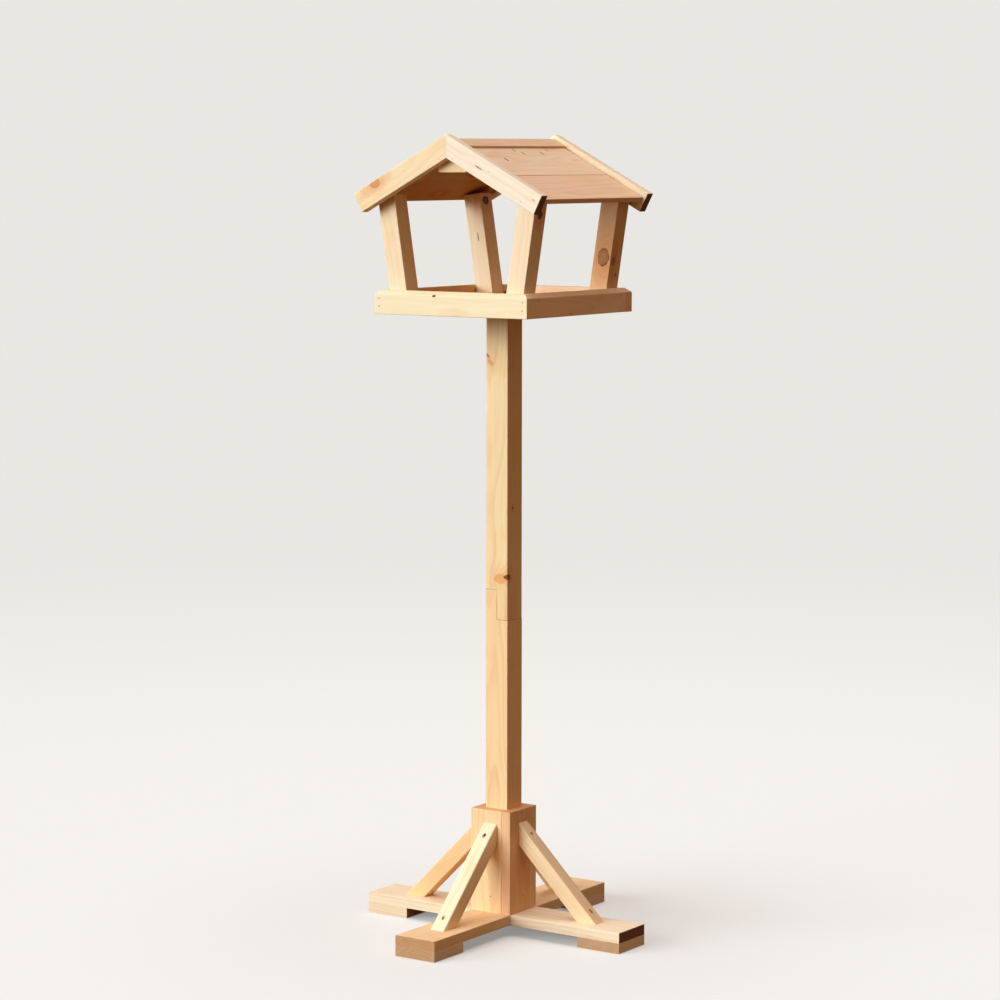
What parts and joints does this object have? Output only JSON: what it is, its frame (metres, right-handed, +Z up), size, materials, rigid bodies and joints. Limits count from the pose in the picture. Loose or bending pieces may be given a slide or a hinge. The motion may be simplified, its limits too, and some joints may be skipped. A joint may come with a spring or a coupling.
{
  "type": "bird table",
  "caption": "Wooden bird table: a rimmed tray on a tall square post with a braced cross foot, under a pitched board roof on splayed corner posts.",
  "frame": {"origin": "on the ground under the middle of the post, at the bottom centre of the bounding box", "axes": "+Z up the post; the gables face -Y (front) and +Y; the ridge runs along Y; +X to the right"},
  "size_m": [0.527, 0.527, 1.3745],
  "materials": {
    "pine_post": "planed softwood, warm oiled finish",
    "pine_foot": "planed softwood, warm oiled finish",
    "pine_tray": "planed softwood, warm oiled finish",
    "pine_roof": "planed softwood, warm oiled finish",
    "zinc_steel": "dull zinc-plated screws and pins"
  },
  "bodies": {
    "root": {"barge_board_back_left": "pine_roof", "barge_board_back_right": "pine_roof", "barge_board_front_left": "pine_roof", "barge_board_front_right": "pine_roof", "barge_pins": "zinc_steel", "bearer_pins": "zinc_steel", "bearer_screws": "zinc_steel", "brace_back": "pine_foot", "brace_foot_screws": "zinc_steel", "brace_front": "pine_foot", "brace_head_screws": "zinc_steel", "brace_left": "pine_foot", "brace_right": "pine_foot", "corner_pins": "zinc_steel", "corner_post_back_left": "pine_tray", "corner_post_back_right": "pine_tray", "corner_post_front_left": "pine_tray", "corner_post_front_right": "pine_tray", "corner_screws": "zinc_steel", "floor_board_left": "pine_tray", "floor_board_middle": "pine_tray", "floor_board_right": "pine_tray", "floor_pins": "zinc_steel", "foot_board_across": "pine_foot", "foot_board_along": "pine_foot", "foot_centre_screws": "zinc_steel", "foot_pad_back": "pine_foot", "foot_pad_front": "pine_foot", "foot_pad_left": "pine_foot", "foot_pad_right": "pine_foot", "gable_rafter_back_left": "pine_roof", "gable_rafter_back_right": "pine_roof", "gable_rafter_front_left": "pine_roof", "gable_rafter_front_right": "pine_roof", "lap_screws": "zinc_steel", "lower_post": "pine_post", "pad_screws": "zinc_steel", "ridge_beam": "pine_roof", "ridge_strip_left": "pine_roof", "ridge_strip_right": "pine_roof", "rim_back": "pine_tray", "rim_front": "pine_tray", "rim_left": "pine_tray", "rim_pins": "zinc_steel", "rim_right": "pine_tray", "roof_board_eave_left": "pine_roof", "roof_board_eave_right": "pine_roof", "roof_board_upper_left": "pine_roof", "roof_board_upper_right": "pine_roof", "roof_pins": "zinc_steel", "socket_board_back": "pine_foot", "socket_board_front": "pine_foot", "socket_board_left": "pine_foot", "socket_board_right": "pine_foot", "socket_pins": "zinc_steel", "strip_pins": "zinc_steel", "tray_bearer_back": "pine_tray", "tray_bearer_front": "pine_tray", "upper_post": "pine_post"}
  },
  "joints": []
}
